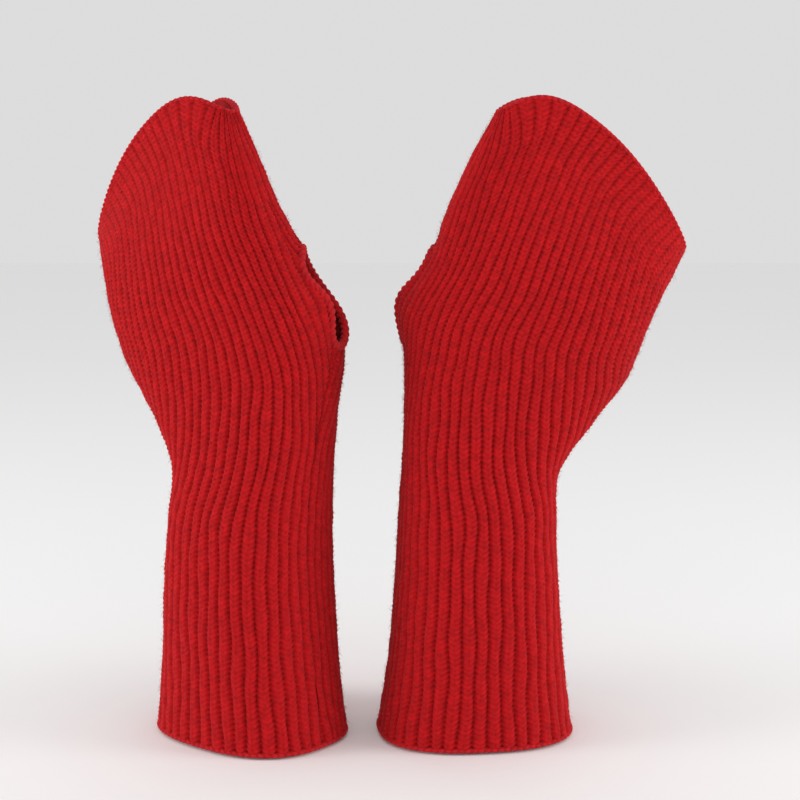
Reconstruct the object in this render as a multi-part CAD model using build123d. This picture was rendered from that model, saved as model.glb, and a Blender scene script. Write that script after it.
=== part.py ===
"""A pair of long fingerless gloves in thick ribbed knit.

Frame: millimetres, +X to the right across the pair, +Y away from the viewer, +Z up from the hems to the
finger openings. The origin is on the floor under the middle of the pair. Both gloves stand on their hems
with the backs of the hands towards -Y. The right glove faces the viewer and the left one is turned so that
its thumb side comes forward.

Each glove is one knitted fabric. It is made here as the sections that bend, stretch or are finished
separately: cast-on hem, forearm, wrist, hand, thumb gusset, finger band, the bound-off edges of the finger
and thumb openings, and the lengths of the linked seam down the inside of the thumb side.

Every glove is first built about its own axes: thumb side towards -X, palm towards +Y.
"""

import os
from math import copysign, cos, pi, sin

from build123d import *

# knitted wall
WALL = 3.0
RIM_PROUD = 0.5
HEM_PROUD = 0.6
HEM_HEIGHT = 5.0
FINGER_EDGE_DEPTH = 3.5
FINGER_BAND_DEPTH = 18.0

# heights where the sections of one glove meet, at rest
WRIST_LOW = 84.0
WRIST_HIGH = 138.0
BEND_GAP = 0.3
HAND_LOW = WRIST_HIGH + BEND_GAP

# outer sections of the tube from below the hem up to past the finger opening, each a rounded oval:
# (thumb side x, thumb side z, little-finger side x, little-finger side z, half depth, middle y, turn)
# The last number turns the section about the upright line of the glove, in degrees.
SECTIONS = [
    (-43.0, -15.0, 41.0, -15.0, 32.0, 0.0, 0.0),
    (-40.0, 0.0, 38.5, 0.0, 31.5, 0.0, 0.0),
    (-35.2, 30.0, 34.5, 30.0, 31.0, 0.0, 0.0),
    (-32.6, 60.0, 32.0, 60.0, 31.0, 0.0, 0.0),
    (-30.8, 88.0, 31.0, 88.0, 30.0, 1.5, 0.0),
    (-29.0, 110.0, 33.4, 107.0, 29.0, 6.0, -2.0),
    (-28.4, 131.0, 46.5, 124.0, 29.5, 11.5, -5.0),
    (-29.5, 152.0, 58.5, 140.0, 31.5, 16.5, -9.5),
    (-31.5, 171.0, 63.0, 151.0, 30.0, 14.0, -10.0),
    (-18.8, 190.0, 67.5, 163.0, 25.5, 10.0, -8.0),
    (-12.0, 209.0, 73.5, 175.0, 19.5, 3.5, -2.0),
    (-3.0, 229.0, 80.0, 186.0, 16.0, 2.0, 1.0),
    (9.0, 250.0, 87.0, 199.0, 14.5, 1.5, 4.0),
    (21.0, 272.0, 91.0, 215.0, 14.0, 1.0, 4.0),
]
# how square the ovals are: 2 is an ellipse
FULLNESS = 2.5
OVAL_POINTS = 20

# finger opening: the curved line it follows across the back of the hand, as (x, z) from the index side
FINGER_LINE = [
    (-12.0, 240.0),
    (7.0, 250.5),
    (26.0, 254.0),
    (46.0, 243.5),
    (66.0, 223.0),
    (84.0, 196.5),
    (98.0, 169.0),
]
PALM_MIDDLE = (5.0, 160.0)

# thumb opening: an oval window that looks out to the thumb side, up and to the palm
THUMB_CENTRE = (-23.0, 29.0, 178.0)
THUMB_NORMAL = (-0.60, 0.66, 0.45)
THUMB_HALF_HEIGHT = 20.0
THUMB_HALF_WIDTH = 12.5
THUMB_EDGE_WIDTH = 3.2

# gusset: the wedge of side stitches that widens from the wrist up to the thumb opening
GUSSET_LOW_HALF = 5.0
GUSSET_HIGH = 170.0
GUSSET_HIGH_HALF = 15.0
GUSSET_Y = 16.0

# linked seam: a low ridge down the inside of the thumb side, open only at the thumb opening
SEAM_Y = 8.0
SEAM_WIDTH = 3.6
SEAM_PROUD = 1.2
SEAM_BELOW_THUMB = 158.0
SEAM_ABOVE_THUMB = 200.0

# where each glove stands and how it is turned about its own upright line
RIGHT_X = 36.9
LEFT_X = -54.5
PAIR_Y = -12.3
RIGHT_TURN = 8.0
LEFT_TURN = -38.0


def section(thumb_x, thumb_z, little_x, little_z, half_depth, middle_y, turn, inset):
    """One rounded oval of the tube, in the plane through its thumb and little-finger points."""
    thumb = Vector(thumb_x, middle_y, thumb_z)
    little = Vector(little_x, middle_y, little_z)
    across = (little - thumb).normalized()
    middle = (thumb + little) * 0.5
    half_width = (little - thumb).length * 0.5 - inset
    points = []
    for index in range(OVAL_POINTS):
        angle = 2 * pi * index / OVAL_POINTS
        along = copysign(abs(cos(angle)) ** (2 / FULLNESS), cos(angle))
        deep = copysign(abs(sin(angle)) ** (2 / FULLNESS), sin(angle))
        point = middle - across * half_width * along + Vector(0, (half_depth - inset) * deep, 0)
        points.append(point.rotate(Axis.Z, turn))
    return make_face(Spline(*points, periodic=True))


def tube(inset):
    """The solid inside the sections, drawn in by inset all round and longer by inset at both ends."""
    rings = []
    for index, values in enumerate(SECTIONS):
        ring = section(*values, inset)
        if index == 0:
            ring = Pos(0, 0, -inset) * ring
        if index == len(SECTIONS) - 1:
            ring = Pos(0, 0, inset) * ring
        rings.append(ring)
    return loft(rings)


def slab(low, high):
    """Everything between two heights."""
    return Pos(0, 0, (low + high) / 2) * Box(400, 300, high - low)


def below_finger_line(drop):
    """Everything under the finger line once that line is drawn in by drop towards the palm's middle."""
    palm = Vector(*PALM_MIDDLE)
    line = []
    for point in FINGER_LINE:
        inward = (palm - Vector(*point)).normalized()
        line.append(Vector(*point) + inward * drop)
    start = line[0]
    end = line[-1]
    rest = Polyline(end, (150, end.Y), (150, 60), (-150, 60), (-150, start.Y), start)
    face = make_face(Spline(*line) + rest)
    return extrude(Plane.XZ * face, 150, both=True)


def thumb_plane():
    """The plane of the thumb opening, with its x axis up the slope of the hand."""
    normal = Vector(*THUMB_NORMAL).normalized()
    level = Vector(0, 0, 1).cross(normal)
    return Plane(origin=THUMB_CENTRE, x_dir=normal.cross(level), z_dir=normal)


def thumb_window(margin):
    """A bar through the thumb opening, wider than it by margin all round."""
    oval = Ellipse(THUMB_HALF_HEIGHT + margin, THUMB_HALF_WIDTH + margin)
    return thumb_plane() * Pos(0, 0, -16) * extrude(oval, 60)


def gusset_wedge():
    """The upright wedge on the thumb side that holds the gusset."""
    outline = Polyline(
        (GUSSET_Y - GUSSET_LOW_HALF, WRIST_HIGH - 1),
        (GUSSET_Y + GUSSET_LOW_HALF, WRIST_HIGH - 1),
        (GUSSET_Y + GUSSET_HIGH_HALF, GUSSET_HIGH),
        (GUSSET_Y - GUSSET_HIGH_HALF, GUSSET_HIGH),
        close=True,
    )
    face = Plane.YZ * make_face(outline)
    return extrude(face, -60)


def seam_band(low, high):
    """A narrow upright band on the thumb side, used to cut one length of seam out of the lining."""
    return Pos(-60, SEAM_Y, (low + high) / 2) * Box(150, SEAM_WIDTH, high - low)


def one_glove():
    """All the sections of one glove by name, in the glove's own axes."""
    inner = tube(WALL)
    wall = tube(0) - inner
    edge_wall = tube(-RIM_PROUD) - inner
    hem_wall = tube(-HEM_PROUD) - inner
    lining = inner - tube(WALL + SEAM_PROUD)

    under_edge = below_finger_line(0)
    under_band = below_finger_line(FINGER_EDGE_DEPTH)
    under_hand = below_finger_line(FINGER_BAND_DEPTH)
    window = thumb_window(0)
    edge_window = thumb_window(THUMB_EDGE_WIDTH)
    wedge = gusset_wedge()

    upper = wall & slab(HAND_LOW, 300)
    hand = (upper & under_hand) - edge_window
    upper_lining = (lining & under_hand) - edge_window
    band_lining = (lining & under_band) - edge_window

    return {
        "hem_edge": hem_wall & slab(0, HEM_HEIGHT),
        "forearm_tube": wall & slab(HEM_HEIGHT, WRIST_LOW),
        "wrist_tube": wall & slab(WRIST_LOW, WRIST_HIGH),
        "hand_tube": hand - wedge,
        "thumb_gusset": hand & wedge,
        "thumb_edge": edge_wall & (edge_window - window) & under_hand,
        "finger_band": (upper & (under_band - under_hand)) - edge_window,
        "finger_edge": edge_wall & (under_edge - under_band) & slab(150, 300),
        "forearm_seam": lining & seam_band(HEM_HEIGHT, WRIST_LOW),
        "wrist_seam": lining & seam_band(WRIST_LOW, WRIST_HIGH),
        "gusset_seam": upper_lining & seam_band(HAND_LOW, SEAM_BELOW_THUMB),
        "index_seam": band_lining & seam_band(SEAM_ABOVE_THUMB, 300),
    }


def place(piece, name, side):
    """Stand a right-hand piece in its place in the pair; the left glove is its mirror image."""
    if side == "left":
        piece = mirror(piece, about=Plane.YZ)
        piece = Pos(LEFT_X, PAIR_Y, 0) * Rot(0, 0, LEFT_TURN) * piece
    else:
        piece = Pos(RIGHT_X, PAIR_Y, 0) * Rot(0, 0, RIGHT_TURN) * piece
    piece.label = side + "_" + name
    return piece


def main():
    os.makedirs("parts", exist_ok=True)
    pieces = one_glove()
    for side in ("left", "right"):
        for name, piece in pieces.items():
            placed = place(piece, name, side)
            box = placed.bounding_box()
            print(placed.label, len(placed.solids()), round(placed.volume), box.min, box.max)
            export_step(placed, os.path.join("parts", placed.label + ".step"))


main()
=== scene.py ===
from math import cos, pi, radians, sin

import bpy
import numpy as np
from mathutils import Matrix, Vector


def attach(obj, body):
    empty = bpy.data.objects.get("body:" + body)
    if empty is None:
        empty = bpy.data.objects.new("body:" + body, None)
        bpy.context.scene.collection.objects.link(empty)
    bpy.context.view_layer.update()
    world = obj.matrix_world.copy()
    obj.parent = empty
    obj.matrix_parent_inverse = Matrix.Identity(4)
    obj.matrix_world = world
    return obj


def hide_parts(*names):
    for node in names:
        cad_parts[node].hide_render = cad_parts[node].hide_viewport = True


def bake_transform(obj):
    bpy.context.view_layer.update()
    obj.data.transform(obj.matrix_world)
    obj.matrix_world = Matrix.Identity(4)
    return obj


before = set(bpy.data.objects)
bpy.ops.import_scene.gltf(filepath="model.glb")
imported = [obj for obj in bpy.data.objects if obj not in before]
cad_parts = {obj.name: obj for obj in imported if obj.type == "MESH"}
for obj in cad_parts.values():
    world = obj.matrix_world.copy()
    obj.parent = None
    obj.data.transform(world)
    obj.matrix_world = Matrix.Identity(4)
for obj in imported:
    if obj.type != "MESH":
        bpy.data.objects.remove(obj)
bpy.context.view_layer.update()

# Everything about the shape of a glove is in millimetres in the glove's own axes, as in the CAD part:
# thumb side towards -X, palm towards +Y, up towards the fingers. Meshes are made in metres.
MM = 0.001
rng = np.random.default_rng(7)

# outer sections from below the hem up to past the finger opening, each a rounded oval:
# thumb side x, thumb side z, little-finger side x, little-finger side z, half depth, middle y, turn
SECTIONS = np.array([
    (-43.0, -15.0, 41.0, -15.0, 32.0, 0.0, 0.0),
    (-40.0, 0.0, 38.5, 0.0, 31.5, 0.0, 0.0),
    (-35.2, 30.0, 34.5, 30.0, 31.0, 0.0, 0.0),
    (-32.6, 60.0, 32.0, 60.0, 31.0, 0.0, 0.0),
    (-30.8, 88.0, 31.0, 88.0, 30.0, 1.5, 0.0),
    (-29.0, 110.0, 33.4, 107.0, 29.0, 6.0, -2.0),
    (-28.4, 131.0, 46.5, 124.0, 29.5, 11.5, -5.0),
    (-29.5, 152.0, 58.5, 140.0, 31.5, 16.5, -9.5),
    (-31.5, 171.0, 63.0, 151.0, 30.0, 14.0, -10.0),
    (-18.8, 190.0, 67.5, 163.0, 25.5, 10.0, -8.0),
    (-12.0, 209.0, 73.5, 175.0, 19.5, 3.5, -2.0),
    (-3.0, 229.0, 80.0, 186.0, 16.0, 2.0, 1.0),
    (9.0, 250.0, 87.0, 199.0, 14.5, 1.5, 4.0),
    (21.0, 272.0, 91.0, 215.0, 14.0, 1.0, 4.0),
])
# how square the ovals are: 2 is an ellipse
FULLNESS = 2.5
# the line of the finger opening over the back of the hand, as (x, z) from the index side
FINGER_LINE = np.array([
    (-12.0, 232.0),
    (5.0, 247.2),
    (22.0, 253.8),
    (46.0, 242.8),
    (66.0, 223.0),
    (84.0, 196.5),
    (98.0, 169.0),
])
PALM_MIDDLE = np.array((5.0, 160.0))

# the thumb opening, an oval that looks out to the thumb side, up and to the palm
THUMB_CENTRE = np.array((-23.0, 29.0, 178.0))
THUMB_NORMAL = np.array((-0.60, 0.66, 0.45))
THUMB_HALF_HEIGHT = 20.0
THUMB_HALF_WIDTH = 12.5
# the opening is cut this deep and this far out from its centre
THUMB_CUT_IN = 16.0
THUMB_CUT_OUT = 44.0
# how far the back of the hand stands up along the base of the thumb
THUMB_FLARE = 4.0

# heights where the wrist section starts and ends, and between which it bends
WRIST_LOW = 84.0
WRIST_HIGH = 138.0

# the band of ribs under the finger edge, how far that edge sits under the finger line, and the wall
BAND_DEPTH = 20.0
EDGE_DROP = 1.2
WALL = 2.6

# the rolled edges: their radius, how far inside the knit's outer face they lie, and their stitches
HEM_RADIUS = 1.5
HEM_BASE = 1.7
HEM_INSET = 1.0
FINGER_RADIUS = 1.5
FINGER_INSET = 1.1
THUMB_RADIUS = 1.7
THUMB_INSET = 0.6
EDGE_TWIST = 0.35
EDGE_BUMP = 0.35

# the seam inside: its thickness, how far in it lies, and where it runs as a share round the tube
SEAM_RADIUS = 1.3
SEAM_INSET = 3.0
SEAM_SHARE = 0.985

# the knitting
RIBS = 44
RIB_SAMPLES = 9
ROW = 2.0
KNIT_LIFT = 0.35
# the grooves between ribs, and how much shallower they are on the hand, on its little-finger side
# and near the knuckles
RIB_DEPTH = 1.70
HAND_SHALLOWER = 0.40
LITTLE_SHALLOWER = 0.50
TOP_SHALLOWER = 0.50
# the backs of the ribs and of the stitches, inside
LINING_RIB = 0.7
LINING_STITCH = 0.18
# the stitches: how deep they are, how they slant to a rib's middle, and the parting down that middle
STITCH_DEPTH = 0.50
STITCH_SLANT = 0.75
PARTING_DEPTH = 0.25
PARTING_WIDTH = 0.16
# how uneven the knitting is: ribs sway sideways, stitches along the rib, and the fabric puckers
RIB_SWAY = 0.08
STITCH_SWAY = 0.05
PUCKER_HEIGHT = 0.16
# share of the ribs that lie on the back, which grows from the wrist to the hand
FRONT_SHARE_WRIST = 0.46
FRONT_SHARE_HAND = 0.62
SHARE_LOW = 90
SHARE_HIGH = 162
# the change of rib spacing from back to palm, and how much closer the ribs run by the index finger
SPACING_CHANGE = 0.09
INDEX_TIGHTER = 0.16

# the gusset: its ribs, its first stitch row, and how it lies over and under the ribs beside it
GUSSET_COLUMNS = 61
GUSSET_PITCH = 4.3
GUSSET_OVERLAP = 0.9
GUSSET_SINK = 0.7
GUSSET_DEPTH_SCALE = 0.85
GUSSET_START_ROW = 57.0
# how far it reaches from its middle line over the back and the palm, by height on the thumb side
GUSSET_HEIGHT = (116.0, 124.0, 141.0, 156.0, 171.0, 190.0, 209.0, 229.0, 250.0, 272.0)
GUSSET_BACK = (0.0, 1.0, 6.5, 13.0, 20.0, 12.0, 8.0, 3.6, 0.2, 0.0)
GUSSET_PALM = (0.0, 1.0, 5.2, 9.5, 13.5, 14.0, 11.0, 6.0, 1.0, 0.0)

# where each glove stands and how it is turned about its own upright line: x, y, degrees
PLACES = {"right": (36.9, -12.3, 8.0), "left": (-54.5, -12.3, -38.0)}

# steps of the table that holds the shape of the tube
LEVELS = 640
AROUND = 1440

# rows of each grid of knit and of lining
FOREARM_ROWS = 205
WRIST_ROWS = 145
HAND_ROWS = 236
BAND_ROWS = 54
FOREARM_LINING_ROWS = 84
WRIST_LINING_ROWS = 54
HAND_LINING_ROWS = 90
BAND_LINING_ROWS = 18
WEDGE_LINING_ROWS = 28

# how the band's ribs turn towards the finger edge
BAND_CURVE = 1.5
BAND_FOLLOW = 0.8

# how far outside the thumb opening the knit, the lining and the rim lie
KNIT_CUT = 1.4
LINING_CUT = 0.6
RIM_CUT = 1.0

# ---------------------------------------------------------------- shape of the tube

def smooth_curve(knots, values, at):
    """Catmull-Rom interpolation of rows of values given at knots."""
    slopes = np.gradient(values, knots, axis=0)
    index = np.clip(np.searchsorted(knots, at) - 1, 0, len(knots) - 2)
    step = (knots[index + 1] - knots[index])[:, None]
    t = ((at - knots[index]) / step[:, 0])[:, None]
    low, high = values[index], values[index + 1]
    slope_low, slope_high = slopes[index] * step, slopes[index + 1] * step
    return (
        (2 * t**3 - 3 * t**2 + 1) * low
        + (t**3 - 2 * t**2 + t) * slope_low
        + (-2 * t**3 + 3 * t**2) * high
        + (t**3 - t**2) * slope_high
    )


def smoothstep(low, high, value):
    """0 at low, 1 at high and a soft change between them; low may be the larger."""
    t = np.clip((value - low) / (high - low), 0, 1)
    return t * t * (3 - 2 * t)


def make_tube():
    """Points of the outer tube: one row per level up the hand, even steps of arc round it.
    The steps start on the thumb side and go first over the back of the hand."""
    knots = np.concatenate([[0], np.cumsum(np.diff(SECTIONS[:, [1, 3]].mean(1)))])
    levels = np.linspace(0, knots[-1], LEVELS)
    shape = smooth_curve(knots, SECTIONS, levels)
    angle = np.linspace(0, 2 * pi, 2 * AROUND + 1)
    along = np.sign(np.cos(angle)) * np.abs(np.cos(angle)) ** (2 / FULLNESS)
    deep = np.sign(np.sin(angle)) * np.abs(np.sin(angle)) ** (2 / FULLNESS)
    points = np.zeros((LEVELS, AROUND + 1, 3))
    girth = np.zeros(LEVELS)
    even = np.linspace(0, 1, AROUND + 1)
    for i, (tx, tz, lx, lz, half_depth, middle_y, turn) in enumerate(shape):
        x = (tx + lx) / 2 - (lx - tx) / 2 * along
        z = (tz + lz) / 2 - (lz - tz) / 2 * along
        y = middle_y - half_depth * deep
        c, s = cos(radians(turn)), sin(radians(turn))
        loop = np.stack([x * c - y * s, x * s + y * c, z], 1)
        length = np.concatenate([[0], np.cumsum(np.linalg.norm(np.diff(loop, axis=0), axis=1))])
        girth[i] = length[-1]
        for k in range(3):
            points[i, :, k] = np.interp(even * length[-1], length, loop[:, k])
    return points, girth


tube, girth = make_tube()
# outward normals, from the steps round the tube and up it
round_step = np.gradient(np.concatenate([tube[:, -3:-1], tube, tube[:, 1:3]], axis=1), axis=1)[:, 2:-2]
up_step = np.gradient(tube, axis=0)
tube_normal = np.cross(up_step, round_step)
tube_normal /= np.linalg.norm(tube_normal, axis=2, keepdims=True)
if (tube_normal[LEVELS // 3, AROUND // 4] @ np.array((0, -1, 0))) < 0:
    tube_normal = -tube_normal


def sample(table, share, level):
    """Bilinear value of a (level, share round) table."""
    i = np.clip(level, 0, LEVELS - 1.001)
    j = np.mod(share, 1.0) * AROUND
    i0 = i.astype(int)
    j0 = np.minimum(j.astype(int), AROUND - 1)
    a = (i - i0)[..., None]
    b = (j - j0)[..., None]
    low = table[i0, j0] * (1 - b) + table[i0, j0 + 1] * b
    high = table[i0 + 1, j0] * (1 - b) + table[i0 + 1, j0 + 1] * b
    return low * (1 - a) + high * a


def finger_height(x, drop):
    """Height of the finger line at x, once it is drawn in by drop."""
    inward = PALM_MIDDLE - FINGER_LINE
    inward /= np.linalg.norm(inward, axis=1, keepdims=True)
    line = FINGER_LINE + inward * drop
    knots = line[:, 0]
    flat = smooth_curve(knots, line, np.clip(x, knots[0], knots[-1]).ravel())
    return flat[:, 1].reshape(x.shape)


def first_crossing(values):
    """Fractional row at which each column of values first rises above zero."""
    row = np.maximum(np.argmax(values > 0, axis=0), 1)
    column = np.arange(values.shape[1])
    below = values[row - 1, column]
    above = values[row, column]
    return row - 1 + np.clip(-below / (above - below), 0, 1)


# ---------------------------------------------------------------- paths of the ribs

MAIN_COLUMNS = RIBS * RIB_SAMPLES + 1
main_u = np.linspace(0, 1, MAIN_COLUMNS)
gusset_u = np.linspace(0, 1, GUSSET_COLUMNS)

middle_height = tube[:, :, 2].mean(1)
thumb_height = tube[:, 0, 2]


def evened(values, width=61):
    """Values by level with their corners rounded off."""
    kernel = np.hanning(width)
    kernel /= kernel.sum()
    half = width // 2
    padded = np.concatenate([np.full(half, values[0]), values, np.full(half, values[-1])])
    return np.convolve(padded, kernel, mode="valid")


back_reach = evened(np.interp(thumb_height, GUSSET_HEIGHT, GUSSET_BACK))
palm_reach = evened(np.interp(thumb_height, GUSSET_HEIGHT, GUSSET_PALM))
back_share = back_reach / girth
palm_share = palm_reach / girth


def rib_paths():
    """Where each column of the main ribs runs, as a share round the tube at every level."""
    hand_share = smoothstep(SHARE_LOW, SHARE_HIGH, middle_height)
    paths = np.zeros((LEVELS, MAIN_COLUMNS))
    for i in range(LEVELS):
        front = FRONT_SHARE_WRIST + (FRONT_SHARE_HAND - FRONT_SHARE_WRIST) * hand_share[i]
        left_over = 1 - back_share[i] - palm_share[i]
        turn = (0.5 - back_share[i]) / left_over
        on_back = turn / front
        on_palm = (1 - turn) / (1 - front)
        change = smoothstep(front - SPACING_CHANGE, front + SPACING_CHANGE, main_u)
        density = on_back + (on_palm - on_back) * change
        density = density - INDEX_TIGHTER * hand_share[i] * smoothstep(0.22, 0.02, main_u)
        run = np.concatenate([[0], np.cumsum((density[1:] + density[:-1]) / 2)])
        paths[i] = back_share[i] + left_over * run / run[-1]
    return paths


main_share = rib_paths()
gusset_low = 1 - palm_share - GUSSET_OVERLAP / girth
gusset_high = 1 + back_share + GUSSET_OVERLAP / girth
gusset_share = gusset_low[:, None] + (gusset_high - gusset_low)[:, None] * gusset_u


def table_rows(table, level):
    """Values of a (level, column) table at a fractional level for every row and column."""
    i = np.clip(level, 0, LEVELS - 1.001)
    i0 = i.astype(int)
    column = np.arange(table.shape[1])[None, :]
    a = i - i0
    return table[i0, column] * (1 - a) + table[i0 + 1, column] * a


def column_points(shares):
    """Where each column passes at every level, (LEVELS, columns, 3)."""
    level = np.repeat(np.arange(LEVELS, dtype=float)[:, None], shares.shape[1], axis=1)
    return sample(tube, shares, level)


class Columns:
    """One family of ribs: its path round the tube and the levels where its sections meet."""

    def __init__(self, shares):
        self.shares = shares
        points = column_points(shares)
        height = points[:, :, 2]
        self.at_hem = first_crossing(height - HEM_BASE)
        self.at_wrist = first_crossing(height - WRIST_LOW)
        self.at_hand = first_crossing(height - WRIST_HIGH)
        self.at_band = first_crossing(height - finger_height(points[:, :, 0], BAND_DEPTH))

    def rows(self, low, high, count):
        """Shares and levels of a grid with count rows from the low to the high level of each column."""
        t = np.linspace(0, 1, count)[:, None]
        level = low[None, :] + (high - low)[None, :] * t
        return table_rows(self.shares, level), level


main = Columns(main_share)
gusset = Columns(gusset_share)
# the level at which the gusset starts to have some width
gusset_first = float(np.argmax(back_reach > 0.05))

# the finger edge, as a level for every share round the tube
edge_height = tube[:, :, 2] - finger_height(tube[:, :, 0], EDGE_DROP)
edge_level = first_crossing(edge_height)
edge_points = sample(tube, np.linspace(0, 1, AROUND + 1), edge_level)


def shift_to_edge(shares, level):
    """How far round the tube the nearest point of the finger edge lies from each given point."""
    start = sample(tube, shares, level)
    own = np.mod(shares, 1.0)
    found = np.zeros(len(shares))
    for i, point in enumerate(start):
        gap = np.linalg.norm(edge_points[:-1] - point, axis=1)
        found[i] = int(np.argmin(gap)) / AROUND
    return np.mod(found - own + 0.5, 1.0) - 0.5


def evened_ring(values, width=61):
    """Values round a ring with their corners rounded off."""
    blur = np.hanning(width)
    blur /= blur.sum()
    margin = width - 1
    wrapped = np.concatenate([values[-margin:], values, values[:margin]])
    return np.convolve(wrapped, blur, mode="same")[margin:-margin]


band_start_share = np.concatenate([
    table_rows(main_share, main.at_band[None, :])[0],
    table_rows(gusset_share, gusset.at_band[None, :])[0],
])
band_start_level = np.concatenate([main.at_band, gusset.at_band])
band_shift = evened_ring(shift_to_edge(band_start_share, band_start_level))
band_end_share = band_start_share + BAND_FOLLOW * band_shift
band_end_level = np.interp(np.mod(band_end_share, 1.0), np.linspace(0, 1, AROUND + 1), edge_level)


# ---------------------------------------------------------------- relief of the knit

def waves(seed, count, low, high):
    """Random long waves that make the knitting a little uneven."""
    draw = np.random.default_rng(seed)
    terms = []
    for _ in range(count):
        terms.append((draw.uniform(low, high), draw.uniform(low, high), draw.uniform(0, 2 * pi)))
    return terms


WOBBLE = waves(3, 6, 0.05, 0.35)
PUCKER = waves(5, 6, 0.10, 0.55)


def uneven(terms, rib, row):
    """The sum of the waves at each stitch, about -1 to 1."""
    total = np.zeros(np.broadcast(rib, row).shape)
    for n, (a, b, phase) in enumerate(terms):
        sign = 1 if n % 2 else -1
        total += np.sin(2 * pi * (a * rib + sign * b * row * 0.35) + phase)
    return total / len(terms) ** 0.5


def relief(rib, row, depth, cut=1.0):
    """Height in millimetres over the rib crests, and a 0 to 1 painted light value: painted shade low down
    in the grooves and painted light up on the crests. Where cut falls to 0 the rib ends in a groove."""
    rib_moved = rib + RIB_SWAY * uneven(WOBBLE, rib, row)
    across = 2 * np.mod(rib_moved, 1.0) - 1
    side = np.abs(across)
    leg = np.mod(row + STITCH_SWAY * uneven(PUCKER, rib * 2, row) - STITCH_SLANT * side, 1.0)
    stitch = np.sin(pi * leg) ** 0.9
    crest = (1 - np.clip(side * (1.10 - 0.16 * stitch), 0, 1) ** 2.6) * cut
    parting = np.exp(-((across / PARTING_WIDTH) ** 2))
    height = depth * (crest - 1) + STITCH_DEPTH * (stitch - 1) * (0.25 + 0.75 * crest)
    height = height - PARTING_DEPTH * parting * crest
    height += PUCKER_HEIGHT * uneven(PUCKER, rib, row)
    # painted light and shade: bright on the rib crests and stitch bulges, dark down in the grooves and the
    # parting, where the knit's own shade falls
    light = np.clip(crest, 0, 1) ** 0.8 * (0.66 + 0.34 * stitch) * (1 - 0.18 * parting)
    return height, light


def rib_depth(points, share):
    """How deep the grooves are: deep on the arm, shallow on the little-finger side and high up."""
    z = points[..., 2]
    hand = smoothstep(112, 160, z)
    little = smoothstep(0.22, 0.48, np.mod(share, 1.0)) * smoothstep(1.0, 0.7, np.mod(share, 1.0))
    top = smoothstep(185, 225, z + 0.35 * (points[..., 0] - 10))
    shallower = HAND_SHALLOWER * hand + LITTLE_SHALLOWER * hand * little + TOP_SHALLOWER * hand * top
    return RIB_DEPTH - shallower


def course_length(points):
    """Length along each column, counted in stitch rows."""
    step = np.linalg.norm(np.diff(points, axis=0), axis=2)
    return np.concatenate([np.zeros((1, points.shape[1])), np.cumsum(step, axis=0)]) / ROW


# ---------------------------------------------------------------- mesh building

class Sheet:
    """One grid of knit: points, normals, painted light value (painted shade in the grooves, painted light
    on the crests) and which cells are kept.
    """

    def __init__(self, points, normals, light, flip=False):
        self.points = points
        self.normals = normals
        self.light = light
        self.flip = flip
        rows, columns = points.shape[:2]
        self.keep = np.ones((rows - 1, columns - 1), bool)

    def centres(self):
        """The middle of every cell."""
        p = self.points
        return (p[:-1, :-1] + p[1:, :-1] + p[:-1, 1:] + p[1:, 1:]) / 4


def thumb_axes():
    """The axes of the thumb opening: up the slope of the hand, level, and straight out."""
    normal = THUMB_NORMAL / np.linalg.norm(THUMB_NORMAL)
    level = np.cross((0, 0, 1), normal)
    level /= np.linalg.norm(level)
    up = np.cross(normal, level)
    return up, level, normal


THUMB_UP, THUMB_LEVEL, THUMB_OUT = thumb_axes()


def thumb_oval(points, margin):
    """Below 1 inside the thumb opening widened by margin."""
    d = points - THUMB_CENTRE
    a = (d @ THUMB_UP) / (THUMB_HALF_HEIGHT + margin)
    b = (d @ THUMB_LEVEL) / (THUMB_HALF_WIDTH + margin)
    out = d @ THUMB_OUT
    inside = a**2 + b**2
    far_outside = 9.0
    return np.where((out > -THUMB_CUT_IN) & (out < THUMB_CUT_OUT), inside, far_outside)


def thumb_flare(points):
    """The same points with the lip on the back of the thumb opening drawn out along the thumb."""
    d = points - THUMB_CENTRE
    a = (d @ THUMB_UP) / (THUMB_HALF_HEIGHT + RIM_CUT)
    b = (d @ THUMB_LEVEL) / (THUMB_HALF_WIDTH + RIM_CUT)
    near = smoothstep(1.8, 1.15, np.sqrt(a**2 + b**2)) * smoothstep(-14, -5, d @ THUMB_OUT)
    lip = smoothstep(-0.6, 0.5, b) * smoothstep(-0.75, 0.35, a) * smoothstep(1.25, 0.6, a)
    return points + (THUMB_FLARE * near * lip)[..., None] * THUMB_OUT


def knit_sheet(shares, level, rib, start_row, depth_scale=1.0, middle=None, outside=None):
    """The outer face of the knit over a grid of (share, level), and the stitch row at each point."""
    base = sample(tube, shares, level)
    normal = sample(tube_normal, shares, level)
    normal /= np.linalg.norm(normal, axis=2, keepdims=True)
    row = start_row[None, :] + course_length(base)
    cut = 1.0 if middle is None else smoothstep(0, 1.0, middle)
    height, light = relief(rib, row, rib_depth(base, shares) * depth_scale, cut)
    if outside is not None:
        height = height - smoothstep(-0.3, 0.5, outside) * GUSSET_SINK
    points = thumb_flare(base + normal * (height + KNIT_LIFT)[..., None])
    return Sheet(points, normal, light), row


def lining_sheet(shares, level, rib, start_row):
    """The inner face, with the backs of the same ribs, on a coarser grid."""
    base = sample(tube, shares, level)
    normal = sample(tube_normal, shares, level)
    normal /= np.linalg.norm(normal, axis=2, keepdims=True)
    row = start_row[None, :] + course_length(base)
    side = np.abs(2 * np.mod(rib + 0.5, 1.0) - 1)
    bump = LINING_RIB * (side**2 - 0.5) + LINING_STITCH * np.sin(2 * pi * row)
    points = thumb_flare(base + normal * (-WALL + bump)[..., None])
    # painted shade on the inner face: darker towards the sides of each rib back, lighter on its middle
    light = np.clip(0.85 - 0.5 * side**2, 0, 1)
    return Sheet(points, -normal, light, flip=True)


def thin_out(values, step):
    """Every step-th value, always with the last one."""
    index = np.unique(np.append(np.arange(0, len(values), step), len(values) - 1))
    return values[index], index


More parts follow.
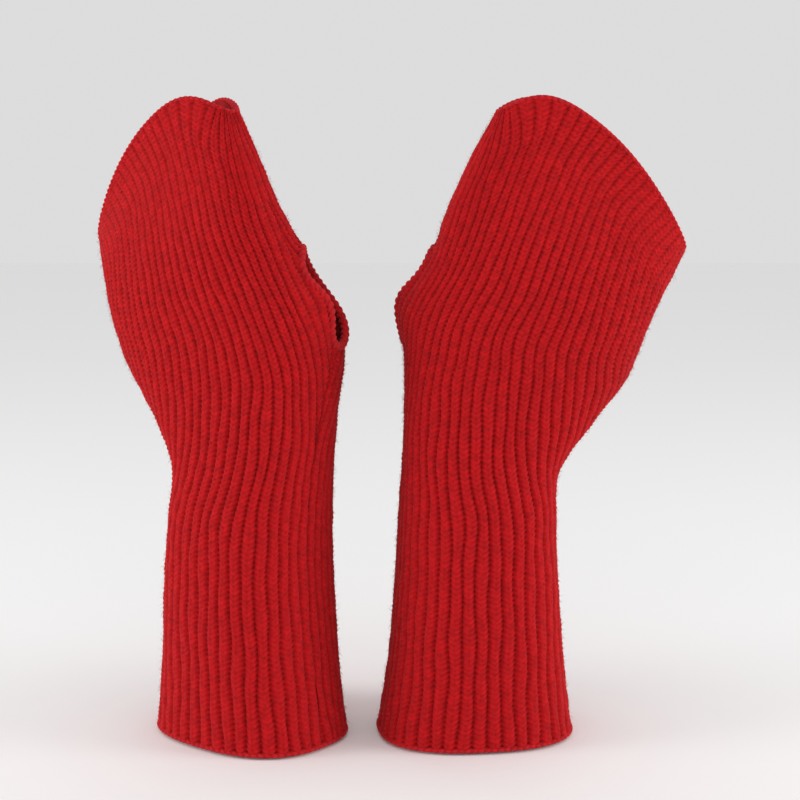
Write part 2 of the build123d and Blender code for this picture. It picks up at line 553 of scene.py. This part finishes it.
def place_points(points, side):
    """From a glove's own millimetres to the pair's metres."""
    x0, y0, turn = PLACES[side]
    turn = radians(turn)
    x = -points[:, 0] if side == "left" else points[:, 0]
    y = points[:, 1]
    return np.stack([
        x * cos(turn) - y * sin(turn) + x0,
        x * sin(turn) + y * cos(turn) + y0,
        points[:, 2],
    ], 1) * MM


def new_object(name, points, faces, light, side, material):
    """A mesh object from points in the glove's own axes. faces is one array of corners or a list."""
    mesh = bpy.data.meshes.new(name)
    placed = place_points(points, side)
    groups = faces if isinstance(faces, list) else [faces]
    loops = []
    sizes = []
    for group in groups:
        turned = group[:, ::-1] if side == "left" else group
        loops.append(turned.ravel())
        sizes.append(np.full(len(group), group.shape[1]))
    loops = np.concatenate(loops).astype(np.int32)
    sizes = np.concatenate(sizes)
    starts = np.concatenate([[0], np.cumsum(sizes)[:-1]]).astype(np.int32)
    mesh.vertices.add(len(placed))
    mesh.vertices.foreach_set("co", placed.astype(np.float32).ravel())
    mesh.loops.add(len(loops))
    mesh.loops.foreach_set("vertex_index", loops)
    mesh.polygons.add(len(sizes))
    mesh.polygons.foreach_set("loop_start", starts)
    mesh.update(calc_edges=True)
    mesh.polygons.foreach_set("use_smooth", np.ones(len(sizes), bool))
    # this attribute holds the painted light and shade, dark in grooves and between stitches, that the
    # material turns into colour
    attribute = mesh.attributes.new("light", "FLOAT", "POINT")
    attribute.data.foreach_set("value", light.astype(np.float32))
    mesh.materials.append(material)
    obj = bpy.data.objects.new(name, mesh)
    bpy.context.scene.collection.objects.link(obj)
    return obj


def join_sheets(sheets):
    """Points, quads and painted light values of several sheets together, without unused points."""
    points, quads, light = [], [], []
    offset = 0
    for sheet in sheets:
        rows, columns = sheet.points.shape[:2]
        index = np.arange(rows * columns).reshape(rows, columns)
        a, b = index[:-1, :-1], index[:-1, 1:]
        c, d = index[1:, 1:], index[1:, :-1]
        cell = np.stack([d, c, b, a] if sheet.flip else [a, b, c, d], -1)[sheet.keep]
        used = np.unique(cell)
        renumber = np.zeros(rows * columns, int)
        renumber[used] = np.arange(len(used))
        points.append(sheet.points.reshape(-1, 3)[used])
        light.append(sheet.light.ravel()[used])
        quads.append(renumber[cell] + offset)
        offset += len(used)
    return np.concatenate(points), np.concatenate(quads), np.concatenate(light)


# ---------------------------------------------------------------- the sheets of one glove

def rib_numbers(rows):
    """The number of the rib at every point of a grid of main columns."""
    return np.repeat((main_u * RIBS)[None, :], rows, axis=0)


def gusset_numbers(level):
    """Rib numbers in the gusset. The ribs run along its two borders and meet on its middle line.
    Also gives the distance from that middle line and how far a point lies outside the gusset."""
    by_level = np.arange(LEVELS)
    back = np.interp(level, by_level, back_reach)
    palm = np.interp(level, by_level, palm_reach)
    offset = (table_rows(gusset_share, level) - 1) * np.interp(level, by_level, girth)
    number = np.where(offset > 0, (offset - back) / GUSSET_PITCH, RIBS + (offset + palm) / GUSSET_PITCH)
    outside = np.maximum(offset - back, -palm - offset)
    return number, np.abs(offset), outside


def gusset_knit(shares, level, start_row):
    """The outer face of a part of the gusset, and its stitch rows."""
    number, middle, outside = gusset_numbers(level)
    return knit_sheet(shares, level, number, start_row, GUSSET_DEPTH_SCALE, middle, outside)


def band_grid(rows):
    """Shares, levels and rib numbers of the band, from the hand up to the finger edge."""
    t = np.linspace(0, 1, rows)[:, None]
    shares = band_start_share + (band_end_share - band_start_share) * t**BAND_CURVE
    level = band_start_level + (band_end_level - band_start_level) * t
    rib = np.concatenate([main_u * RIBS, gusset_numbers(gusset.at_band[None, :])[0][0]])
    return shares, level, np.repeat(rib[None, :], rows, axis=0)


def build_sheets():
    """The outer faces of one glove, by section name. Stitch rows run on from section to section."""
    made = {}
    ends = {}

    # forearm and wrist
    shares, level = main.rows(main.at_hem, main.at_wrist, FOREARM_ROWS)
    sheet, row = knit_sheet(shares, level, rib_numbers(FOREARM_ROWS), np.zeros(MAIN_COLUMNS))
    made["forearm"] = [sheet]
    ends["wrist"] = row[-1]
    shares, level = main.rows(main.at_wrist, main.at_hand, WRIST_ROWS)
    sheet, row = knit_sheet(shares, level, rib_numbers(WRIST_ROWS), ends["wrist"])
    made["wrist"] = [sheet]
    ends["hand"] = row[-1]
    start = np.full(GUSSET_COLUMNS, gusset_first)
    shares, level = gusset.rows(start, gusset.at_hand, WRIST_ROWS // 2)
    sheet, row = gusset_knit(shares, level, np.full(GUSSET_COLUMNS, GUSSET_START_ROW))
    made["wrist"].append(sheet)
    ends["gusset"] = row[-1]

    # hand, with the gusset's ribs and the thumb opening
    shares, level = main.rows(main.at_hand, main.at_band, HAND_ROWS)
    sheet, row = knit_sheet(shares, level, rib_numbers(HAND_ROWS), ends["hand"])
    made["hand"] = [sheet]
    ends["band"] = row[-1]
    shares, level = gusset.rows(gusset.at_hand, gusset.at_band, HAND_ROWS)
    sheet, row = gusset_knit(shares, level, ends["gusset"])
    ends["band_gusset"] = row[-1]
    made["gusset"] = [sheet]
    for piece in (made["hand"][0], made["gusset"][0]):
        piece.keep &= thumb_oval(piece.centres(), KNIT_CUT) > 1

    # band of ribs that turn square to the finger edge, in one ring with the gusset's
    shares, level, rib = band_grid(BAND_ROWS)
    rows_before = np.concatenate([ends["band"], ends["band_gusset"]])
    sheet, _ = knit_sheet(shares, level, rib, rows_before)
    sheet.keep[:, MAIN_COLUMNS - 1] = False
    made["band"] = [sheet]
    return made


def build_linings():
    """The inner faces of one glove, by section name."""
    made = {}
    u, pick = thin_out(main_u, 3)
    rib = u * RIBS

    def ring(low, high, rows):
        """A part of the tube between two levels."""
        shares, level = main.rows(low, high, rows)
        shares, level = shares[:, pick], level[:, pick]
        numbers = np.repeat(rib[None, :], rows, axis=0)
        return lining_sheet(shares, level, numbers, np.zeros(len(pick)))

    made["forearm"] = [ring(main.at_hem, main.at_wrist, FOREARM_LINING_ROWS)]
    made["wrist"] = [ring(main.at_wrist, main.at_hand, WRIST_LINING_ROWS)]
    made["hand"] = [ring(main.at_hand, main.at_band, HAND_LINING_ROWS)]
    gusset_pick = np.arange(0, GUSSET_COLUMNS, 4)

    def wedge(low, high, rows):
        """A part of the gusset between two levels."""
        shares, level = gusset.rows(low, high, rows)
        numbers = gusset_numbers(level)[0][:, gusset_pick]
        shares, level = shares[:, gusset_pick], level[:, gusset_pick]
        return lining_sheet(shares, level, numbers, np.zeros(len(gusset_pick)))

    start = np.full(GUSSET_COLUMNS, gusset_first)
    made["wrist"].append(wedge(start, gusset.at_hand, WEDGE_LINING_ROWS))
    made["gusset"] = [wedge(gusset.at_hand, gusset.at_band, HAND_LINING_ROWS)]
    for sheet in made["hand"] + made["gusset"]:
        sheet.keep &= thumb_oval(sheet.centres(), LINING_CUT) > 1

    columns = np.concatenate([pick, MAIN_COLUMNS + gusset_pick])
    shares, level, numbers = [grid[:, columns] for grid in band_grid(BAND_LINING_ROWS)]
    made["band"] = [lining_sheet(shares, level, numbers, np.zeros(len(columns)))]
    return made


# ---------------------------------------------------------------- edges, seams and fuzz

def tube_along(path, radius, out, closed=True, sides=12, stitches=80, flat=1.0):
    """A rolled, stitched edge: a tube along a path, with slanting stitches in its surface.
    Its section is round, or with flat below 1 it is thin along the fabric."""
    count = len(path)
    if closed:
        tangent = np.roll(path, -1, axis=0) - np.roll(path, 1, axis=0)
    else:
        tangent = np.gradient(path, axis=0)
    tangent /= np.linalg.norm(tangent, axis=1, keepdims=True)
    side = np.cross(tangent, out)
    side /= np.linalg.norm(side, axis=1, keepdims=True)
    lift = np.cross(side, tangent)
    angle = np.arange(sides) / sides * 2 * pi
    along = np.arange(count) / count * stitches
    stitch = np.mod(along[:, None] + EDGE_TWIST * np.cos(angle)[None, :] * 2, 1.0)
    bulge = np.sin(pi * stitch) ** 0.7
    r = radius * (1 - EDGE_BUMP + EDGE_BUMP * bulge * 1.3)
    points = (
        path[:, None, :]
        + lift[:, None, :] * (r * np.cos(angle))[..., None]
        + side[:, None, :] * (r * flat * np.sin(angle))[..., None]
    )
    index = np.arange(count * sides).reshape(count, sides)
    follow = np.roll(index, -1, axis=0)
    around = np.roll(index, -1, axis=1)
    corner = np.roll(follow, -1, axis=1)
    quads = np.stack([index, around, corner, follow], -1)
    if not closed:
        quads = quads[:-1]
    # painted light and shade on the rolled edges and seams: painted light on each stitch's bulge, painted
    # shade between the stitches; the end caps get a middle value
    light = 0.45 + 0.55 * bulge
    points = points.reshape(-1, 3)
    faces = [quads.reshape(-1, 4)]
    if not closed:
        ends = [index[0][::-1], index[-1]]
        middles = np.array([path[0], path[-1]])
        points = np.concatenate([points, middles])
        light = np.concatenate([light.ravel(), [0.6, 0.6]])
        for n, loop in enumerate(ends):
            hub = np.full(sides, count * sides + n)
            faces.append(np.stack([loop, np.roll(loop, -1), hub], 1)[:, ::-1])
    return points, faces, light.ravel()


def resample_loop(path, count):
    """The same closed path in even steps."""
    closed = np.concatenate([path, path[:1]])
    length = np.concatenate([[0], np.cumsum(np.linalg.norm(np.diff(closed, axis=0), axis=1))])
    at = np.linspace(0, length[-1], count, endpoint=False)
    return np.stack([np.interp(at, length, closed[:, k]) for k in range(3)], 1)


def smooth_loop(path, width):
    """A closed path with its small corners rounded off."""
    kernel = np.hanning(width + 2)[1:-1]
    kernel /= kernel.sum()
    half = width // 2
    padded = np.concatenate([path[-half:], path, path[:half]])
    return np.stack([np.convolve(padded[:, k], kernel, mode="valid") for k in range(3)], 1)


def hem_path():
    """The middle of the hem's rolled edge, with the outward direction at each point."""
    share = np.linspace(0, 1, AROUND + 1)[:-1]
    level = first_crossing(tube[:, :, 2] - HEM_BASE)[:-1]
    base = sample(tube, share, level)
    normal = sample(tube_normal, share, level)
    return base - normal * HEM_INSET, normal


def finger_path():
    """The middle of the bound-off finger edge, with the outward direction at each point."""
    share = np.linspace(0, 1, AROUND + 1)[:-1]
    base = edge_points[:-1]
    normal = sample(tube_normal, share, edge_level[:-1])
    return base - normal * FINGER_INSET, normal


def thumb_path():
    """The middle of the thumb opening's rim, with the outward direction at each point.
    It lies where the widened oval cuts the outside of the tube."""
    cloud = tube[:, :-1].reshape(-1, 3)
    normals = tube_normal[:, :-1].reshape(-1, 3)
    near = np.linalg.norm(cloud - THUMB_CENTRE, axis=1) < 40
    cloud, normals = cloud[near], normals[near]
    outward = normals @ THUMB_OUT > 0.05
    cloud, normals = cloud[outward], normals[outward]
    d = cloud - THUMB_CENTRE
    a, b = d @ THUMB_UP, d @ THUMB_LEVEL
    path, out = [], []
    for angle in np.linspace(0, 2 * pi, 240, endpoint=False):
        want_a = (THUMB_HALF_HEIGHT + RIM_CUT) * cos(angle)
        want_b = (THUMB_HALF_WIDTH + RIM_CUT) * sin(angle)
        gap = (a - want_a) ** 2 + (b - want_b) ** 2
        best = np.argsort(gap)[:12]
        weight = 1 / (gap[best] + 0.01)
        path.append((cloud[best] * weight[:, None]).sum(0) / weight.sum())
        out.append(normals[best].mean(0))
    path = smooth_loop(np.array(path), 15)
    out = smooth_loop(np.array(out), 15)
    out /= np.linalg.norm(out, axis=1, keepdims=True)
    return thumb_flare(path - out * THUMB_INSET), out


def seam_path(low, high):
    """A line up the inside of the thumb side between two heights, with the inward directions."""
    column = tube[:, int(SEAM_SHARE * AROUND), :]
    inside = (column[:, 2] > low) & (column[:, 2] < high)
    level = np.arange(LEVELS, dtype=float)[inside]
    shares = np.full(len(level), SEAM_SHARE)
    base = sample(tube, shares, level)
    normal = sample(tube_normal, shares, level)
    return base - normal * SEAM_INSET, -normal


def fibres(sheets, count, draw, longest=2.9, thickness=0.05):
    """Loose fibres of the wool, as fine tapering three-sided hairs that stand off the knit."""
    cell_counts = np.array([sheet.keep.sum() for sheet in sheets])
    share = cell_counts / cell_counts.sum()
    per_hair = 7
    points, tris, quads = [], [], []
    total = 0
    for sheet, part in zip(sheets, share):
        cells = np.argwhere(sheet.keep)
        picked = cells[draw.integers(0, len(cells), int(count * part))]
        base = sheet.points[picked[:, 0], picked[:, 1]]
        normal = sheet.normals[picked[:, 0], picked[:, 1]]
        number = len(base)
        lean = draw.normal(0, 1, (number, 3))
        lean -= (lean * normal).sum(1, keepdims=True) * normal
        lean /= np.linalg.norm(lean, axis=1, keepdims=True) + 1e-9
        length = draw.uniform(0.25, 1.0, number)[:, None] ** 1.6 * longest
        rise = draw.uniform(0.15, 0.9, number)[:, None]
        curl = draw.normal(0, 0.5, (number, 3))
        middle = base + (normal * rise + lean * 0.7) * length * 0.5
        tip = middle + (normal * rise * 0.5 + lean * 0.6 + curl) * length * 0.5
        root = base - normal * 0.1
        side = np.cross(normal, lean)
        other = np.cross(side, normal * 0.5 + lean)
        other /= np.linalg.norm(other, axis=1, keepdims=True)
        rings = []
        for centre, r in ((root, thickness), (middle, thickness * 0.8)):
            for k in range(3):
                turn = 2 * pi * k / 3
                rings.append(centre + (side * cos(turn) + other * sin(turn)) * r)
        rings.append(tip)
        block = np.stack(rings, 1)
        start = total + np.arange(number)[:, None] * per_hair
        for k in range(3):
            n = (k + 1) % 3
            quads.append(start + np.array([[k, n, 3 + n, 3 + k]]))
            tris.append(start + np.array([[3 + k, 3 + n, 6]]))
        points.append(block.reshape(-1, 3))
        total += number * per_hair
    points = np.concatenate(points)
    # every fibre takes the painted light value 0.9, near the lit crest end of the painted shade ramp
    return points, [np.concatenate(quads), np.concatenate(tris)], np.full(len(points), 0.9)


# ---------------------------------------------------------------- materials

def wool_material(name, groove_shade, body, crest, fuzz, grain):
    """Wool yarn: painted shade darkens the grooves and painted light brightens the crests, by the painted
    light value; mottled along the yarn, with fine fibres and a soft sheen.
    """
    material = bpy.data.materials.new(name)
    material.use_nodes = True
    nodes = material.node_tree.nodes
    links = material.node_tree.links
    shader = nodes["Principled BSDF"]
    shader.inputs["Specular IOR Level"].default_value = 0.18
    shader.inputs["Sheen Weight"].default_value = fuzz
    shader.inputs["Sheen Roughness"].default_value = 0.45
    shader.inputs["Sheen Tint"].default_value = (1.0, 0.30, 0.32, 1.0)

    place = nodes.new("ShaderNodeTexCoord")
    # the node called depth reads the painted light value; the ramp turns it into colour, from the groove
    # colour as painted shade through the body colour to the crest colour as painted light
    depth = nodes.new("ShaderNodeAttribute")
    depth.attribute_name = "light"
    painted_shade_ramp = nodes.new("ShaderNodeValToRGB")
    painted_shade_ramp.color_ramp.elements[0].position = 0.10
    painted_shade_ramp.color_ramp.elements[0].color = (*groove_shade, 1)
    painted_shade_ramp.color_ramp.elements[1].position = 0.95
    painted_shade_ramp.color_ramp.elements[1].color = (*crest, 1)
    middle = painted_shade_ramp.color_ramp.elements.new(0.50)
    middle.color = (*body, 1)
    links.new(depth.outputs["Fac"], painted_shade_ramp.inputs["Fac"])

    # mottled yarn, a few millimetres across, and single fibres well under a millimetre
    mottle = nodes.new("ShaderNodeTexNoise")
    mottle.inputs["Scale"].default_value = 420
    mottle.inputs["Detail"].default_value = 3
    fibre = nodes.new("ShaderNodeTexNoise")
    fibre.inputs["Scale"].default_value = grain
    fibre.inputs["Detail"].default_value = 4
    fibre.inputs["Roughness"].default_value = 0.7
    for texture in (mottle, fibre):
        links.new(place.outputs["Object"], texture.inputs["Vector"])

    # both make the colour lighter and darker, by these factors
    both = nodes.new("ShaderNodeMath")
    both.operation = "MULTIPLY"
    for n, (texture, darker, lighter) in enumerate(((mottle, 0.80, 1.14), (fibre, 0.84, 1.16))):
        spread = nodes.new("ShaderNodeMapRange")
        spread.inputs["From Min"].default_value = 0.3
        spread.inputs["From Max"].default_value = 0.7
        spread.inputs["To Min"].default_value = darker
        spread.inputs["To Max"].default_value = lighter
        links.new(texture.outputs["Fac"], spread.inputs["Value"])
        links.new(spread.outputs["Result"], both.inputs[n])
    tint = nodes.new("ShaderNodeVectorMath")
    tint.operation = "SCALE"
    links.new(painted_shade_ramp.outputs["Color"], tint.inputs[0])
    links.new(both.outputs["Value"], tint.inputs["Scale"])
    links.new(tint.outputs["Vector"], shader.inputs["Base Color"])

    rough = nodes.new("ShaderNodeMapRange")
    rough.inputs["To Min"].default_value = 0.82
    rough.inputs["To Max"].default_value = 1.0
    links.new(fibre.outputs["Fac"], rough.inputs["Value"])
    links.new(rough.outputs["Result"], shader.inputs["Roughness"])

    bump = nodes.new("ShaderNodeBump")
    bump.inputs["Strength"].default_value = 0.7
    bump.inputs["Distance"].default_value = 0.00025
    links.new(fibre.outputs["Fac"], bump.inputs["Height"])
    links.new(bump.outputs["Normal"], shader.inputs["Normal"])
    return material


# in each wool the groove colour is painted shade down in the grooves and the crest colour painted light on
# the rib tops; edge_wool is a little lighter and seam_wool darker than knit_wool
knit_wool = wool_material(
    "knit_wool",
    groove_shade=(0.28, 0.000, 0.001),
    body=(0.41, 0.002, 0.004),
    crest=(0.49, 0.006, 0.009),
    fuzz=0.13,
    grain=2300,
)
edge_wool = wool_material(
    "edge_wool",
    groove_shade=(0.33, 0.001, 0.004),
    body=(0.43, 0.005, 0.008),
    crest=(0.51, 0.011, 0.016),
    fuzz=0.16,
    grain=2600,
)
seam_wool = wool_material(
    "seam_wool",
    groove_shade=(0.14, 0.000, 0.003),
    body=(0.32, 0.005, 0.010),
    crest=(0.42, 0.010, 0.015),
    fuzz=0.10,
    grain=2300,
)


# ---------------------------------------------------------------- build both gloves

sheets = build_sheets()
linings = build_linings()
hem_line, hem_out = hem_path()
finger_line, finger_out = finger_path()
thumb_line, thumb_out = thumb_path()

# the body that each piece rides on, or None where it bends across the wrist, and what it stands for
SECTION_NODES = {
    "forearm": ("cuff", "forearm_tube"),
    "wrist": (None, "wrist_tube"),
    "hand": ("hand", "hand_tube"),
    "gusset": ("hand", "thumb_gusset"),
    "band": ("hand", "finger_band"),
}
# body, node, path, outward directions, radius, stitches round it and flatness
EDGES = {
    "hem": ("cuff", "hem_edge", hem_line, hem_out, HEM_RADIUS, RIBS * 2, 0.62),
    "finger_rim": ("hand", "finger_edge", finger_line, finger_out, FINGER_RADIUS, 92, 0.62),
    "thumb_rim": ("hand", "thumb_edge", thumb_line, thumb_out, THUMB_RADIUS, 40, 1.0),
}
# body, node, lowest and highest point
SEAMS = {
    "forearm_ridge": ("cuff", "forearm_seam", 4, WRIST_LOW),
    "wrist_ridge": (None, "wrist_seam", WRIST_LOW, WRIST_HIGH),
    "gusset_ridge": ("hand", "gusset_seam", WRIST_HIGH, 157),
    "index_ridge": ("hand", "index_seam", 204, 236),
}
# the sections that carry the loose fibres and how many there are
FUZZ = {
    "cuff": (["forearm"], 10000),
    "wrist": (["wrist"], 6500),
    "hand": (["hand", "gusset", "band"], 13500),
}


def fix(obj, side, body):
    """Let a piece ride on one body, or, where body is None, bake its place into its mesh and attach it to
    no body.
    """
    if body is None:
        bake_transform(obj)
    else:
        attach(obj, side + "_" + body)


for side in ("left", "right"):
    for name, (body, node) in SECTION_NODES.items():
        for layer, parts in (("_knit", sheets[name]), ("_lining", linings[name])):
            points, quads, light = join_sheets(parts)
            obj = new_object(side + "_" + name + layer, points, quads, light, side, knit_wool)
            fix(obj, side, body)
            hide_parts(side + "_" + node)
    for name, (body, node, path, out, radius, stitches, flat) in EDGES.items():
        line = resample_loop(path, stitches * 8)
        nearest = [int(np.argmin(np.linalg.norm(path - p, axis=1))) for p in line]
        points, faces, light = tube_along(line, radius, out[nearest], stitches=stitches, flat=flat)
        obj = new_object(side + "_" + name, points, faces, light, side, edge_wool)
        fix(obj, side, body)
        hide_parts(side + "_" + node)
    for name, (body, node, low, high) in SEAMS.items():
        path, out = seam_path(low, high)
        stitches = int((high - low) / ROW)
        points, faces, light = tube_along(path, SEAM_RADIUS, out, closed=False, sides=10, stitches=stitches)
        obj = new_object(side + "_" + name, points, faces, light, side, seam_wool)
        fix(obj, side, body)
        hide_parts(side + "_" + node)
    for name, (sections, count) in FUZZ.items():
        covered = [sheet for section in sections for sheet in sheets[section]]
        points, faces, light = fibres(covered, count, rng)
        obj = new_object(side + "_" + name + "_fuzz", points, faces, light, side, edge_wool)
        fix(obj, side, None if name == "wrist" else name)


# ---------------------------------------------------------------- floor, light and camera

def floor_material():
    """A plain matt white."""
    material = bpy.data.materials.new("studio_floor")
    material.use_nodes = True
    shader = material.node_tree.nodes["Principled BSDF"]
    shader.inputs["Base Color"].default_value = (0.97, 0.97, 0.97, 1)
    shader.inputs["Roughness"].default_value = 0.9
    return material


def area_light(name, place, aim_height, size, power):
    """A round soft light that points at the upright line through the middle of the pair."""
    data = bpy.data.lights.new(name, "AREA")
    data.shape = "DISK"
    data.size = size
    data.energy = power
    lamp = bpy.data.objects.new(name, data)
    lamp.location = place
    aim = Vector((0, 0, aim_height))
    lamp.rotation_euler = (aim - Vector(place)).to_track_quat("-Z", "Y").to_euler()
    bpy.context.scene.collection.objects.link(lamp)


bpy.ops.mesh.primitive_plane_add(size=6, location=(0, 0, 0))
floor = bpy.context.object
floor.name = "studio_floor"
floor.data.materials.append(floor_material())

bpy.context.scene.view_settings.view_transform = "Standard"
world = bpy.data.worlds.new("studio")
world.use_nodes = True
world.node_tree.nodes["Background"].inputs["Color"].default_value = (1, 1, 1, 1)
world.node_tree.nodes["Background"].inputs["Strength"].default_value = 0.72
bpy.context.scene.world = world

area_light("key_left", (-1.20, -0.28, 0.34), 0.13, 0.6, 6.0)
area_light("key_right", (1.20, -0.28, 0.34), 0.13, 0.6, 6.2)
area_light("front", (0.0, -1.4, 0.30), 0.13, 0.6, 2.0)
area_light("top", (0.0, -0.1, 1.2), 0.10, 0.8, 0.4)

# the camera looks along +Y from CAMERA_X, a little down
CAMERA_X = 0.0061
camera_data = bpy.data.cameras.new("camera")
camera_data.lens = 76
camera_data.sensor_width = 36
camera = bpy.data.objects.new("camera", camera_data)
camera.location = (CAMERA_X, -0.673, 0.230)
aim = Vector((CAMERA_X, 0, 0.133))
camera.rotation_euler = (aim - camera.location).to_track_quat("-Z", "Y").to_euler()
bpy.context.scene.collection.objects.link(camera)
bpy.context.scene.camera = camera
